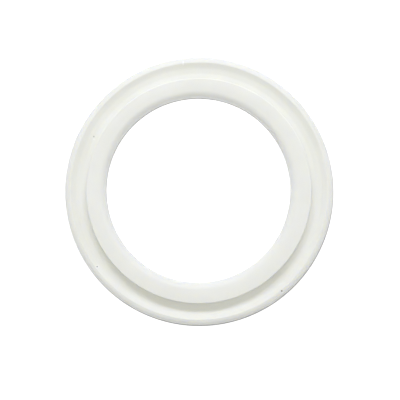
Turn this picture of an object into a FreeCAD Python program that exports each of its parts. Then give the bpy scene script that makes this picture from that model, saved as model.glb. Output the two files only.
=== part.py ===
import FreeCAD, Part
import math
import os

# Oil seal for a 35 mm shaft in a 50 mm housing bore, moulded in one piece.
# Z is the axis of the shaft. The origin is on it, in the plane of the flat underside.

Vector = FreeCAD.Vector

# Sizes in millimetres: the shaft, then widths outward from the bore
shaft_diameter = 35.0
lip_interference = 0.50         # the free bore is this much smaller than the shaft
bore_side_width = 2.30          # from the bore to the crown, the highest line of the collar
collar_side_width = 1.35        # from the crown to the collar's outer edge
step_width = 0.10               # lean of the wall between the collar and the channel
channel_width = 0.92            # level floor at the wall's foot
dish_width = 1.03               # slowly rising floor
bead_rise_width = 0.98          # steeper inner side of the rim bead
rim_width = 1.07                # from the crest of the bead to the outer wall

# Heights in millimetres above the underside, and a slope in degrees
collar_height = 4.00            # overall, at the crown
crown_slope = 4.5               # fall of the collar's top to either side of the crown
channel_height = 2.00
dish_end_height = 2.18
bead_height = 2.70
rim_drop = 0.30                 # fall of the rim from the crest to where it turns down

# Roundings and chamfers in millimetres
bore_edge_radius = 1.40
crown_radius = 8.00
collar_edge_chamfer = 0.10
step_foot_radius = 0.15
dish_radius = 1.30
bead_radius = 0.20
rim_radius = 1.10
underside_chamfer = 0.20

wide_turn = math.radians(60)    # roundings that turn further than this are made of two arcs


def corner_arc(before, corner, after):
    """The arc that rounds a (radius, height, rounding) corner between its two neighbours."""
    point = Vector(corner[0], 0, corner[1])
    to_before = Vector(before[0], 0, before[1]).sub(point).normalize()
    to_after = Vector(after[0], 0, after[1]).sub(point).normalize()
    half_angle = to_before.getAngle(to_after) / 2
    setback = corner[2] / math.tan(half_angle)
    depth = corner[2] / math.sin(half_angle) - corner[2]
    middle = point + to_before.add(to_after).normalize() * depth
    return Part.Arc(point + to_before * setback, middle, point + to_after * setback)


def rounded_outline(corners):
    """Closed wire in the XZ plane through the corners; those without a rounding stay sharp."""
    runs = []
    for i, corner in enumerate(corners):
        if corner[2] == 0:
            point = Vector(corner[0], 0, corner[1])
            runs.append((point, [], point))
            continue
        arc = corner_arc(corners[i - 1], corner, corners[(i + 1) % len(corners)])
        cuts = [arc.FirstParameter, arc.LastParameter]
        if cuts[1] - cuts[0] > wide_turn:
            cuts.insert(1, sum(cuts) / 2)
        pieces = [arc.toShape(start, end) for start, end in zip(cuts, cuts[1:])]
        runs.append((arc.StartPoint, pieces, arc.EndPoint))
    edges = []
    for i, (start, pieces, end) in enumerate(runs):
        following = runs[(i + 1) % len(runs)][0]
        edges += pieces + [Part.LineSegment(end, following).toShape()]
    return Part.Wire(edges)


def seal_section():
    """Corners of the section, up the bore wall, outward over the top and down the outer wall."""
    bore = (shaft_diameter - lip_interference) / 2
    crown = bore + bore_side_width
    collar_edge = crown + collar_side_width
    step_foot = collar_edge + step_width
    channel_end = step_foot + channel_width
    dish_end = channel_end + dish_width
    bead = dish_end + bead_rise_width
    outer = bead + rim_width
    slope = math.radians(crown_slope)
    crown_corner = collar_height + crown_radius * (1 / math.cos(slope) - 1)
    collar_edge_height = crown_corner - collar_side_width * math.tan(slope)
    return [
        (bore + underside_chamfer, 0, 0),
        (bore, underside_chamfer, 0),
        (bore, crown_corner - bore_side_width * math.tan(slope), bore_edge_radius),
        (crown, crown_corner, crown_radius),
        (collar_edge - collar_edge_chamfer, collar_edge_height, 0),
        (collar_edge, collar_edge_height - collar_edge_chamfer, 0),
        (step_foot, channel_height, step_foot_radius),
        (channel_end, channel_height, 0),
        (dish_end, dish_end_height, dish_radius),
        (bead, bead_height, bead_radius),
        (outer, bead_height - rim_drop, rim_radius),
        (outer, underside_chamfer, 0),
        (outer - underside_chamfer, 0, 0),
    ]


def seal_ring():
    section = Part.Face(rounded_outline(seal_section()))
    return section.revolve(Vector(0, 0, 0), Vector(0, 0, 1), 360)


os.makedirs("parts", exist_ok=True)
ring = seal_ring()
ring.exportStep("parts/seal_ring.step")
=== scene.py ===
import bpy
import math
import numpy as np
from mathutils import Euler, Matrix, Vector


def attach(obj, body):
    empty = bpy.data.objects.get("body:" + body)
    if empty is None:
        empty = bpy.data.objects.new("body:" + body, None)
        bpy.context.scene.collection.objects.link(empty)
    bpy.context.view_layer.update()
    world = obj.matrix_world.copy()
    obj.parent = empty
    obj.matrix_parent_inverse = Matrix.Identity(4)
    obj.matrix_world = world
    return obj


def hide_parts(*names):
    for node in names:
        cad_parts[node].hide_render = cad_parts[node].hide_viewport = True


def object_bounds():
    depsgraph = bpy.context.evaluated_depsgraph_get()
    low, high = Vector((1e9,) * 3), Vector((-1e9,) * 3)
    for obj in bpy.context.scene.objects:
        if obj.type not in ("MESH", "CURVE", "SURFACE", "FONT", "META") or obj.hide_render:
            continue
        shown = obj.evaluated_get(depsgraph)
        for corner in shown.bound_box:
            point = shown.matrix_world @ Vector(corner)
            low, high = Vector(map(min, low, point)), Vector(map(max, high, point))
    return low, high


# An oil seal: one white moulded ring, lying flat on a pale floor and seen from almost straight above.
# Lengths are in millimetres until a mesh, a lamp or the camera takes them in metres.

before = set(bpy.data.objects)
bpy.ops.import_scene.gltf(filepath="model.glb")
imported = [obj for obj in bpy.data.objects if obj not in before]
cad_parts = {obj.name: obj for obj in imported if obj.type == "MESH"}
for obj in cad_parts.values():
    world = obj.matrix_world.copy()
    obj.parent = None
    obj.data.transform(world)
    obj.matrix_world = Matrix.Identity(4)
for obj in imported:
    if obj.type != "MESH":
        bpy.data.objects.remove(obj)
cad_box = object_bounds()

MM = 0.001
NODE = "seal_ring"

# The section: widths outward from the bore
BORE_RADIUS = 17.25
BORE_SIDE_WIDTH = 2.30          # from the bore to the crown, the highest line of the collar
COLLAR_SIDE_WIDTH = 1.35        # from the crown to the collar's outer edge
STEP_WIDTH = 0.03               # lean of the wall between the collar and the channel
CHANNEL_WIDTH = 0.99            # level floor at the wall's foot
DISH_WIDTH = 1.03               # slowly rising floor
BEAD_RISE_WIDTH = 0.98          # steeper inner side of the rim bead
RIM_WIDTH = 1.07                # from the crest of the bead to the outer wall

# The lines between those widths, as radii
CROWN = BORE_RADIUS + BORE_SIDE_WIDTH
COLLAR_EDGE = CROWN + COLLAR_SIDE_WIDTH
STEP_FOOT = COLLAR_EDGE + STEP_WIDTH
CHANNEL_END = STEP_FOOT + CHANNEL_WIDTH
DISH_END = CHANNEL_END + DISH_WIDTH
BEAD_CREST = DISH_END + BEAD_RISE_WIDTH
OUTER_RADIUS = BEAD_CREST + RIM_WIDTH

# Heights above the underside, and a slope in degrees
COLLAR_HEIGHT = 4.00            # overall, at the crown
CROWN_SLOPE = 4.5               # fall of the collar's top to either side of the crown
CHANNEL_HEIGHT = 2.00
DISH_END_HEIGHT = 2.18
BEAD_HEIGHT = 2.70
RIM_DROP = 0.30                 # fall of the rim from the crest to where it turns down

# Roundings and chamfers
BORE_EDGE_RADIUS = 1.40
CROWN_RADIUS = 8.00
COLLAR_EDGE_RADIUS = 0.14
STEP_FOOT_RADIUS = 0.12
DISH_RADIUS = 1.30
BEAD_RADIUS = 0.20
RIM_RADIUS = 1.10
UNDERSIDE_CHAMFER = 0.20

# How fine the ring's mesh is
SHOWN_ABOVE = CHANNEL_HEIGHT / 2    # the height from which the ring is finely divided, uneven and marked
AROUND = 640                    # steps around the axis
TOP_SPACING = 0.16              # longest step of the section on the side that the camera sees
PLAIN_SPACING = 0.80            # and on the walls and the underside
ARC_STEP = math.radians(9)      # longest step round a rounding
LEAST_ARC_STEPS = 2

# Unevenness of the moulding, always inward, so that the ring keeps its overall size
WAVE_COUNT = 26
WAVE_DEPTH = 0.045
WAVE_LOBES = (2, 40)            # crests of a wave around the axis, from the first number to below the second
WAVE_ACROSS = 1.2               # most radians that a wave turns in a millimetre of the section
WAVE_SEED = 7

# The bore is moulded a little off the axis: shift along X and Y, which fades out towards the crown
BORE_SHIFT = (-0.15, 0.18)

# Little marks in the surface: place from the axis, half widths, depth and shade, the later ones on top
PALE = (0.96, 0.96, 0.93)
GREY = (0.42, 0.41, 0.37)
DARK = (0.20, 0.20, 0.18)
MARKS = [
    (-19.62, 9.68, 0.20, 0.15, 0.00, PALE),
    (-19.62, 10.17, 0.12, 0.12, 0.03, GREY),
    (-18.92, -14.10, 0.34, 0.34, 0.00, PALE),
    (-18.92, -14.10, 0.12, 0.12, 0.04, DARK),
    (15.54, -18.76, 0.22, 0.22, 0.00, PALE),
    (15.39, -18.61, 0.16, 0.16, 0.04, DARK),
    (-2.92, 23.85, 0.18, 0.45, 0.03, PALE),
]
MARK_STEPS = 12                 # extra steps around the axis at each mark
MARK_REACH = 2.5                # how far they reach, in half widths of the mark
MARK_EDGE = (0.6, 1.2)          # where the shade of a mark begins and ends to fade, in half widths

# The polymer's colours, as linear red, green and blue
POLYMER = (0.847, 0.849, 0.801)
POLYMER_PALE = (0.875, 0.877, 0.834)
SCATTER_REACH = 0.1             # millimetres that light travels inside the polymer
SCATTER_COLOUR = (1.0, 0.95, 0.75)  # the share of that reach which each colour has

# Its surface, as sizes of the patterns in turns for a millimetre or for a radian
MOTTLE_SCALE = 0.13
MOTTLE_DETAIL = 3.0
STREAK_SCALE = 42.0
STREAK_DETAIL = 2.0
STREAK_SHARE = 0.15             # what the streaks add to the mottling
PALE_RANGE = (0.35, 0.80)       # mottling and streaks at which the pale colour begins and is full
GRAIN_SCALE = 4.5
GRAIN_DETAIL = 2.0
GRAIN_DEPTH = 0.012
SATIN = 0.45                    # roughness where the mottling is low
WAXY = 0.60                     # and where it is high
WAXY_RANGE = (0.3, 0.7)         # the low and the high mottling

# The camera and the picture
PICTURE = 400                   # pixels along a side
PIXELS_PER_MM = 5.34
AXIS_PIXEL = (199.1, 191.3)     # where the axis meets the floor in the picture
CAMERA_TILT = (2.0, 0.95)       # degrees that it leans to the picture's bottom and to its right
CAMERA_DISTANCE = 400
SENSOR_WIDTH = 36
NEAREST_SEEN = 10               # distance from the camera within which nothing shows

# The light: a bluish lamp beyond the picture's top, and a yellowish one that is nearly overhead
KEY_ELEVATION = 48.0            # degrees above the floor
KEY_DISTANCE = 600
KEY_WIDTH = 460
KEY_HEIGHT = 85
KEY_POWER = 1.44
KEY_COLOUR = (0.975, 0.996, 1.16)
OVERHEAD_ELEVATION = 80.0
OVERHEAD_DISTANCE = 900
OVERHEAD_SIZE = 500.0
OVERHEAD_POWER = 0.62
OVERHEAD_COLOUR = (1.01, 1.0, 0.88)

# The pale surroundings, which change evenly from the horizon to straight overhead
SKY_LOW = 0.685
SKY_OVERHEAD = 0.608
SKY_COLOUR_LOW = (0.905, 0.958, 1.21)
SKY_COLOUR_OVERHEAD = (1.025, 1.002, 0.82)

# The floor, which the camera sees as white but for a thin line of painted shadow along the ring: the shadow
# is rendered, but darkened in tone and kept to a band whose place and width are set here
FLOOR_SIZE = 4000
FLOOR_DROP = 0.01               # how far it lies under the ring
FLOOR_TONE = 0.90
FLOOR_ROUGHNESS = 0.9
FLOOR_GLOW = 0.98               # what makes it white
PAINTED_SHADOW_TONE = 0.38              # painted shade: the floor's darker tone to the camera where it doesn't glow
PAINTED_SHADOW_SHIFT = (0.03, -0.10)   # the painted shadow line outside the ring is a little thicker at the picture's bottom
PAINTED_SHADOW_REACH = 0.20            # from the ring to the full glow: the width of the painted shadow line
BORE_PAINTED_SHADOW_SHIFT = (0.02, -0.04)
BORE_PAINTED_SHADOW_REACH = 0.07       # the same painted shadow line inside the bore


def section_corners():
    """Corners of the section as (radius, height, rounding), up the bore, over the top and down."""
    slope = math.radians(CROWN_SLOPE)
    crown_corner = COLLAR_HEIGHT + CROWN_RADIUS * (1 / math.cos(slope) - 1)
    return [
        (BORE_RADIUS + UNDERSIDE_CHAMFER, 0, 0),
        (BORE_RADIUS, UNDERSIDE_CHAMFER, 0),
        (BORE_RADIUS, crown_corner - BORE_SIDE_WIDTH * math.tan(slope), BORE_EDGE_RADIUS),
        (CROWN, crown_corner, CROWN_RADIUS),
        (COLLAR_EDGE, crown_corner - COLLAR_SIDE_WIDTH * math.tan(slope), COLLAR_EDGE_RADIUS),
        (STEP_FOOT, CHANNEL_HEIGHT, STEP_FOOT_RADIUS),
        (CHANNEL_END, CHANNEL_HEIGHT, 0),
        (DISH_END, DISH_END_HEIGHT, DISH_RADIUS),
        (BEAD_CREST, BEAD_HEIGHT, BEAD_RADIUS),
        (OUTER_RADIUS, BEAD_HEIGHT - RIM_DROP, RIM_RADIUS),
        (OUTER_RADIUS, UNDERSIDE_CHAMFER, 0),
        (OUTER_RADIUS - UNDERSIDE_CHAMFER, 0, 0),
    ]


def corner_points(before, corner, after):
    """Points of the arc that rounds a corner, or the corner itself where it is sharp."""
    point = np.array(corner[:2], float)
    rounding = corner[2]
    if rounding == 0:
        return [point]
    to_before = np.array(before[:2]) - point
    to_after = np.array(after[:2]) - point
    to_before /= np.linalg.norm(to_before)
    to_after /= np.linalg.norm(to_after)
    half = math.acos(float(to_before @ to_after)) / 2
    centre = point + (to_before + to_after) / (2 * math.cos(half)) * rounding / math.sin(half)
    start = point + to_before * rounding / math.tan(half) - centre
    end = point + to_after * rounding / math.tan(half) - centre
    first = math.atan2(start[1], start[0])
    turn = (math.atan2(end[1], end[0]) - first + math.pi) % (2 * math.pi) - math.pi
    steps = max(LEAST_ARC_STEPS, math.ceil(abs(turn) / ARC_STEP))
    angles = first + turn * np.arange(steps + 1) / steps
    return [centre + rounding * np.array([math.cos(a), math.sin(a)]) for a in angles]


def section_points():
    """The closed section as (radius, height) rows, finely divided on the side that shows."""
    corners = section_corners()
    count = len(corners)
    arcs = [corner_points(corners[i - 1], corners[i], corners[(i + 1) % count]) for i in range(count)]
    points = []
    for i in range(count):
        points += arcs[i]
        start = arcs[i][-1]
        end = arcs[(i + 1) % count][0]
        shows = min(start[1], end[1]) > SHOWN_ABOVE
        spacing = TOP_SPACING if shows else PLAIN_SPACING
        steps = math.ceil(np.linalg.norm(end - start) / spacing)
        points += [start + (end - start) * k / steps for k in range(1, steps)]
    return np.array(points)


def ring_angles():
    """Angles around the axis, even but for the closer steps at the little marks."""
    angles = list(np.arange(AROUND) * 2 * math.pi / AROUND)
    for x, y, half_x, half_y, _, _ in MARKS:
        reach = MARK_REACH * max(half_x, half_y) / math.hypot(x, y)
        angles += list(math.atan2(y, x) + np.linspace(-reach, reach, MARK_STEPS))
    return np.unique(np.mod(angles, 2 * math.pi))


def waves(angles, along):
    """Smooth unevenness from 0 to 1 over the ring: rows are angles, columns follow the section."""
    random = np.random.default_rng(WAVE_SEED)
    total = np.zeros((len(angles), len(along)))
    for _ in range(WAVE_COUNT):
        lobes = random.integers(*WAVE_LOBES)
        across = random.uniform(0, WAVE_ACROSS)
        phase, shift = random.uniform(0, 2 * math.pi, 2)
        total += np.cos(lobes * angles[:, None] + phase) * np.cos(across * along[None, :] + shift)
    low = total.min()
    return (total - low) / (total.max() - low)


def along_and_inward(points):
    """At each point of the section, how far along it lies and the unit vector into the moulding."""
    steps = np.roll(points, -1, axis=0) - points
    along = np.concatenate([[0], np.cumsum(np.linalg.norm(steps, axis=1))[:-1]])
    tangents = np.roll(points, -1, axis=0) - np.roll(points, 1, axis=0)
    tangents /= np.linalg.norm(tangents, axis=1)[:, None]
    return along, np.stack([tangents[:, 1], -tangents[:, 0]], axis=1)


def ring_vertices(points, angles):
    """The ring's vertices with its waves, its shifted bore and its marks: rows are angles."""
    along, inward = along_and_inward(points)
    depth = WAVE_DEPTH * waves(angles, along)
    depth[:, points[:, 1] < SHOWN_ABOVE] = 0
    radius = points[None, :, 0] + depth * inward[None, :, 0]
    height = points[None, :, 1] + depth * inward[None, :, 1]
    x = radius * np.cos(angles)[:, None]
    y = radius * np.sin(angles)[:, None]
    inner_share = np.clip(1 - (radius - BORE_RADIUS) / BORE_SIDE_WIDTH, 0, 1)
    x += BORE_SHIFT[0] * inner_share
    y += BORE_SHIFT[1] * inner_share
    upper = height > SHOWN_ABOVE
    for mark_x, mark_y, half_x, half_y, deep, _ in MARKS:
        away = np.hypot((x - mark_x) / half_x, (y - mark_y) / half_y)
        height = height - np.where(upper, deep * np.exp(-away ** 2), 0)
    return np.stack([x, y, height], axis=2)


def ring_faces(rows, columns):
    """Quads that join each row of vertices to the next one, and the last to the first."""
    i = np.arange(rows)[:, None]
    j = np.arange(columns)[None, :]
    here, there = i * columns, (i + 1) % rows * columns
    after = (j + 1) % columns
    return np.stack([here + j, here + after, there + after, there + j], axis=2).reshape(-1, 4)


def ring_mesh():
    """The whole ring as one closed mesh of quads."""
    vertices = ring_vertices(section_points(), ring_angles())
    faces = ring_faces(vertices.shape[0], vertices.shape[1])
    mesh = bpy.data.meshes.new("moulded_ring")
    mesh.from_pydata((vertices.reshape(-1, 3) * MM).tolist(), [], faces.tolist())
    mesh.polygons.foreach_set("use_smooth", np.ones(len(faces), bool))
    mesh.update()
    return mesh


def add_node(tree, kind, inputs, **options):
    """A shader node: each input is a value or the output of another node, each option a property."""
    made = tree.nodes.new(kind)
    for name, value in options.items():
        setattr(made, name, value)
    for name, value in inputs.items():
        if isinstance(value, bpy.types.NodeSocket):
            tree.links.new(value, made.inputs[name])
        else:
            made.inputs[name].default_value = value
    return made


def add_noise(tree, place, scale, detail):
    inputs = {"Vector": place, "Scale": scale, "Detail": detail}
    return add_node(tree, "ShaderNodeTexNoise", inputs).outputs[0]


def add_maths(tree, operation, first, second):
    """A number worked out from two others."""
    return add_node(tree, "ShaderNodeMath", {0: first, 1: second}, operation=operation).outputs[0]


def add_vector_maths(tree, operation, inputs):
    """A vector worked out from others."""
    return add_node(tree, "ShaderNodeVectorMath", inputs, operation=operation).outputs["Vector"]


def add_length(tree, vector):
    return add_node(tree, "ShaderNodeVectorMath", {0: vector}, operation="LENGTH").outputs["Value"]


def add_range(tree, value, start, end, result=(0, 1)):
    """The first result up to the start, the second from the end on, and evenly between them."""
    inputs = {"Value": value, "From Min": start, "From Max": end, "To Min": result[0], "To Max": result[1]}
    return add_node(tree, "ShaderNodeMapRange", inputs).outputs[0]


def add_mix(tree, share, first, second):
    """A colour between two others, through the sockets that a mixing node has for colours."""
    return add_node(tree, "ShaderNodeMix", {0: share, 6: first, 7: second}, data_type="RGBA").outputs[2]


def add_marks(tree, flat, colour):
    """The colour with the little marks over it."""
    for x, y, half_x, half_y, _, shade in MARKS:
        from_mark = add_vector_maths(tree, "SUBTRACT", {0: flat, 1: (x, y, 0)})
        in_halves = add_vector_maths(tree, "DIVIDE", {0: from_mark, 1: (half_x, half_y, 1)})
        mask = add_range(tree, add_length(tree, in_halves), *MARK_EDGE, result=(1, 0))
        colour = add_mix(tree, mask, colour, (*shade, 1))
    return colour


def polymer_material():
    """White satin polymer: mottled, with faint flow streaks from the axis, a fine grain and little marks."""
    material = bpy.data.materials.new("satin_polymer")
    material.use_nodes = True
    tree = material.node_tree
    shader = tree.nodes["Principled BSDF"]
    shader.inputs["Subsurface Weight"].default_value = 1.0
    shader.inputs["Subsurface Radius"].default_value = SCATTER_COLOUR
    shader.inputs["Subsurface Scale"].default_value = SCATTER_REACH * MM
    metres = add_node(tree, "ShaderNodeTexCoord", {}).outputs["Object"]
    place = add_vector_maths(tree, "SCALE", {0: metres, "Scale": 1 / MM})
    flat = add_vector_maths(tree, "MULTIPLY", {0: place, 1: (1, 1, 0)})
    direction = add_vector_maths(tree, "NORMALIZE", {0: flat})
    mottle = add_noise(tree, place, MOTTLE_SCALE, MOTTLE_DETAIL)
    streaks = add_noise(tree, direction, STREAK_SCALE, STREAK_DETAIL)
    faint = add_maths(tree, "MULTIPLY", streaks, STREAK_SHARE)
    pale = add_range(tree, add_maths(tree, "ADD", mottle, faint), *PALE_RANGE)
    colour = add_mix(tree, pale, (*POLYMER, 1), (*POLYMER_PALE, 1))
    rough = add_range(tree, mottle, *WAXY_RANGE, result=(SATIN, WAXY))
    grain = add_noise(tree, place, GRAIN_SCALE, GRAIN_DETAIL)
    bump = add_node(tree, "ShaderNodeBump", {"Height": grain, "Strength": 1.0, "Distance": GRAIN_DEPTH * MM})
    tree.links.new(add_marks(tree, flat, colour), shader.inputs["Base Color"])
    tree.links.new(rough, shader.inputs["Roughness"])
    tree.links.new(bump.outputs[0], shader.inputs["Normal"])
    return material


def show_to_camera(tree, plain, seen, output):
    """Ends a tree in one shader for what is seen directly, mirrored or through something clear."""
    ray = add_node(tree, "ShaderNodeLightPath", {})
    direct = add_maths(tree, "MAXIMUM", ray.outputs["Is Camera Ray"], ray.outputs["Is Glossy Ray"])
    share = add_maths(tree, "MAXIMUM", direct, ray.outputs["Is Transmission Ray"])
    mixed = add_node(tree, "ShaderNodeMixShader", {0: share, 1: plain.outputs[0], 2: seen.outputs[0]})
    tree.links.new(mixed.outputs[0], tree.nodes[output].inputs["Surface"])


def clear_of_circle(tree, centre, radius, reach):
    """0 at a circle on the floor and 1 from a reach beyond it, or inside it where the reach is negative."""
    place = add_node(tree, "ShaderNodeTexCoord", {}).outputs["Object"]
    from_centre = add_vector_maths(tree, "SUBTRACT", {0: place, 1: (centre[0] * MM, centre[1] * MM, 0)})
    return add_range(tree, add_length(tree, from_centre), radius * MM, (radius + reach) * MM)


def floor_material():
    """Pale floor, which glows white to the camera but for a thin line of painted shadow along the ring."""
    material = bpy.data.materials.new("pale_floor")
    material.use_nodes = True
    tree = material.node_tree
    plain = tree.nodes["Principled BSDF"]
    plain.inputs["Base Color"].default_value = (FLOOR_TONE, FLOOR_TONE, FLOOR_TONE, 1)
    plain.inputs["Roughness"].default_value = FLOOR_ROUGHNESS
    # Painted shadow: the glow is left out in bands along the ring and the bore, where the camera sees the
    # floor's rendered shade in a darker tone
    outside = clear_of_circle(tree, PAINTED_SHADOW_SHIFT, OUTER_RADIUS, PAINTED_SHADOW_REACH)
    bore_centre = (BORE_PAINTED_SHADOW_SHIFT[0] + BORE_SHIFT[0], BORE_PAINTED_SHADOW_SHIFT[1] + BORE_SHIFT[1])
    in_bore = clear_of_circle(tree, bore_centre, BORE_RADIUS, -BORE_PAINTED_SHADOW_REACH)
    clear_of_painted_shadow = add_maths(tree, "MAXIMUM", outside, in_bore)
    strength = add_maths(tree, "MULTIPLY", clear_of_painted_shadow, FLOOR_GLOW)
    glow = add_node(tree, "ShaderNodeEmission", {"Strength": strength})
    painted_shade_diffuse = add_node(tree, "ShaderNodeBsdfDiffuse", {"Color": (PAINTED_SHADOW_TONE, PAINTED_SHADOW_TONE, PAINTED_SHADOW_TONE, 1)})
    lit = add_node(tree, "ShaderNodeAddShader", {0: painted_shade_diffuse.outputs[0], 1: glow.outputs[0]})
    show_to_camera(tree, plain, lit, "Material Output")
    return material


def make_ring():
    ring = bpy.data.objects.new("moulded_ring", ring_mesh())
    ring.data.materials.append(polymer_material())
    bpy.context.collection.objects.link(ring)
    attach(ring, "root")
    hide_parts(NODE)


def make_floor():
    half = FLOOR_SIZE / 2 * MM
    under = cad_box[0][2] - FLOOR_DROP * MM
    mesh = bpy.data.meshes.new("floor")
    corners = [(-half, -half, under), (half, -half, under), (half, half, under), (-half, half, under)]
    mesh.from_pydata(corners, [], [(0, 1, 2, 3)])
    mesh.materials.append(floor_material())
    floor = bpy.data.objects.new("floor", mesh)
    bpy.context.collection.objects.link(floor)


def make_lamp(name, elevation, distance, width, height, power, colour):
    """A soft rectangle beyond the picture's top, at an elevation in degrees, aimed at the ring."""
    lamp = bpy.data.lights.new(name, "AREA")
    lamp.energy = power
    lamp.color = colour
    lamp.shape = "RECTANGLE"
    lamp.size = width * MM
    lamp.size_y = height * MM
    lit = bpy.data.objects.new(name, lamp)
    up = math.radians(elevation)
    lit.location = Vector((0, math.cos(up), math.sin(up))) * distance * MM
    lit.rotation_euler = (-lit.location).to_track_quat("-Z", "Y").to_euler()
    bpy.context.collection.objects.link(lit)


def make_surround():
    """Pale light from all round, and plain white beyond the floor where the camera sees it."""
    world = bpy.data.worlds.new("surround")
    world.use_nodes = True
    tree = world.node_tree
    light = tree.nodes["Background"]
    direction = add_node(tree, "ShaderNodeTexCoord", {}).outputs["Generated"]
    upward = add_node(tree, "ShaderNodeSeparateXYZ", {0: direction}).outputs["Z"]
    strength = add_range(tree, upward, 0, 1, result=(SKY_LOW, SKY_OVERHEAD))
    colour = add_mix(tree, upward, (*SKY_COLOUR_LOW, 1), (*SKY_COLOUR_OVERHEAD, 1))
    tree.links.new(strength, light.inputs["Strength"])
    tree.links.new(colour, light.inputs["Color"])
    white = add_node(tree, "ShaderNodeBackground", {"Color": (1, 1, 1, 1), "Strength": 1.0})
    show_to_camera(tree, light, white, "World Output")
    bpy.context.scene.world = world


def make_camera():
    """Aims at the point of the floor on the axis, which the lens and a small shift place in the picture."""
    lens = bpy.data.cameras.new("camera")
    lens.sensor_width = SENSOR_WIDTH
    lens.lens = SENSOR_WIDTH * PIXELS_PER_MM * CAMERA_DISTANCE / PICTURE
    lens.shift_x = (PICTURE / 2 - AXIS_PIXEL[0]) / PICTURE
    lens.shift_y = (AXIS_PIXEL[1] - PICTURE / 2) / PICTURE
    lens.clip_start = NEAREST_SEEN * MM
    camera = bpy.data.objects.new("camera", lens)
    down, right = CAMERA_TILT
    turn = Euler((math.radians(down), math.radians(right), 0))
    camera.rotation_euler = turn
    camera.location = turn.to_matrix() @ Vector((0, 0, CAMERA_DISTANCE * MM))
    bpy.context.collection.objects.link(camera)
    bpy.context.scene.camera = camera


make_ring()
make_floor()
make_lamp("key", KEY_ELEVATION, KEY_DISTANCE, KEY_WIDTH, KEY_HEIGHT, KEY_POWER, KEY_COLOUR)
make_lamp("overhead", OVERHEAD_ELEVATION, OVERHEAD_DISTANCE, OVERHEAD_SIZE, OVERHEAD_SIZE,
          OVERHEAD_POWER, OVERHEAD_COLOUR)
make_surround()
make_camera()
bpy.context.scene.view_settings.view_transform = "Standard"
